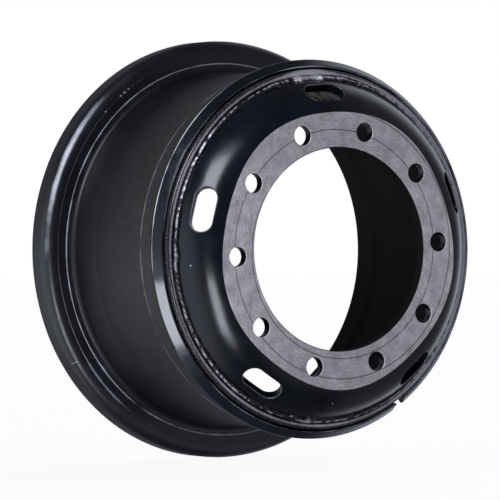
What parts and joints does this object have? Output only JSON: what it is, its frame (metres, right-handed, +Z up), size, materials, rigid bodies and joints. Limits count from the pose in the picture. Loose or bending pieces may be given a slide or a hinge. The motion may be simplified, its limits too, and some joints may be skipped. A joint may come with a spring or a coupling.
{
  "type": "truck wheel rim",
  "caption": "Tube-type steel truck wheel: domed bolt-on disc with hand holes, welded into a wide rim base with a fixed back flange, and a split lock ring lying in the front gutter.",
  "frame": {"origin": "centre of the stud circle on the front bolt face, on the wheel's axis", "axes": "+Y along the wheel's axis from the bolt face towards the back flange, +Z up, +X to the right seen from the front"},
  "size_m": [0.6031, 0.3315, 0.6032],
  "materials": {
    "rim_paint": "satin black paint",
    "disc_paint": "gloss black paint with a bare grey machined bolt face",
    "weld_paint": "rough weld bead under black paint",
    "ring_paint": "gloss black paint"
  },
  "bodies": {
    "root": {"rim_base": "rim_paint", "wheel_disc": "disc_paint", "disc_weld": "weld_paint", "lock_ring": "ring_paint"}
  },
  "joints": []
}
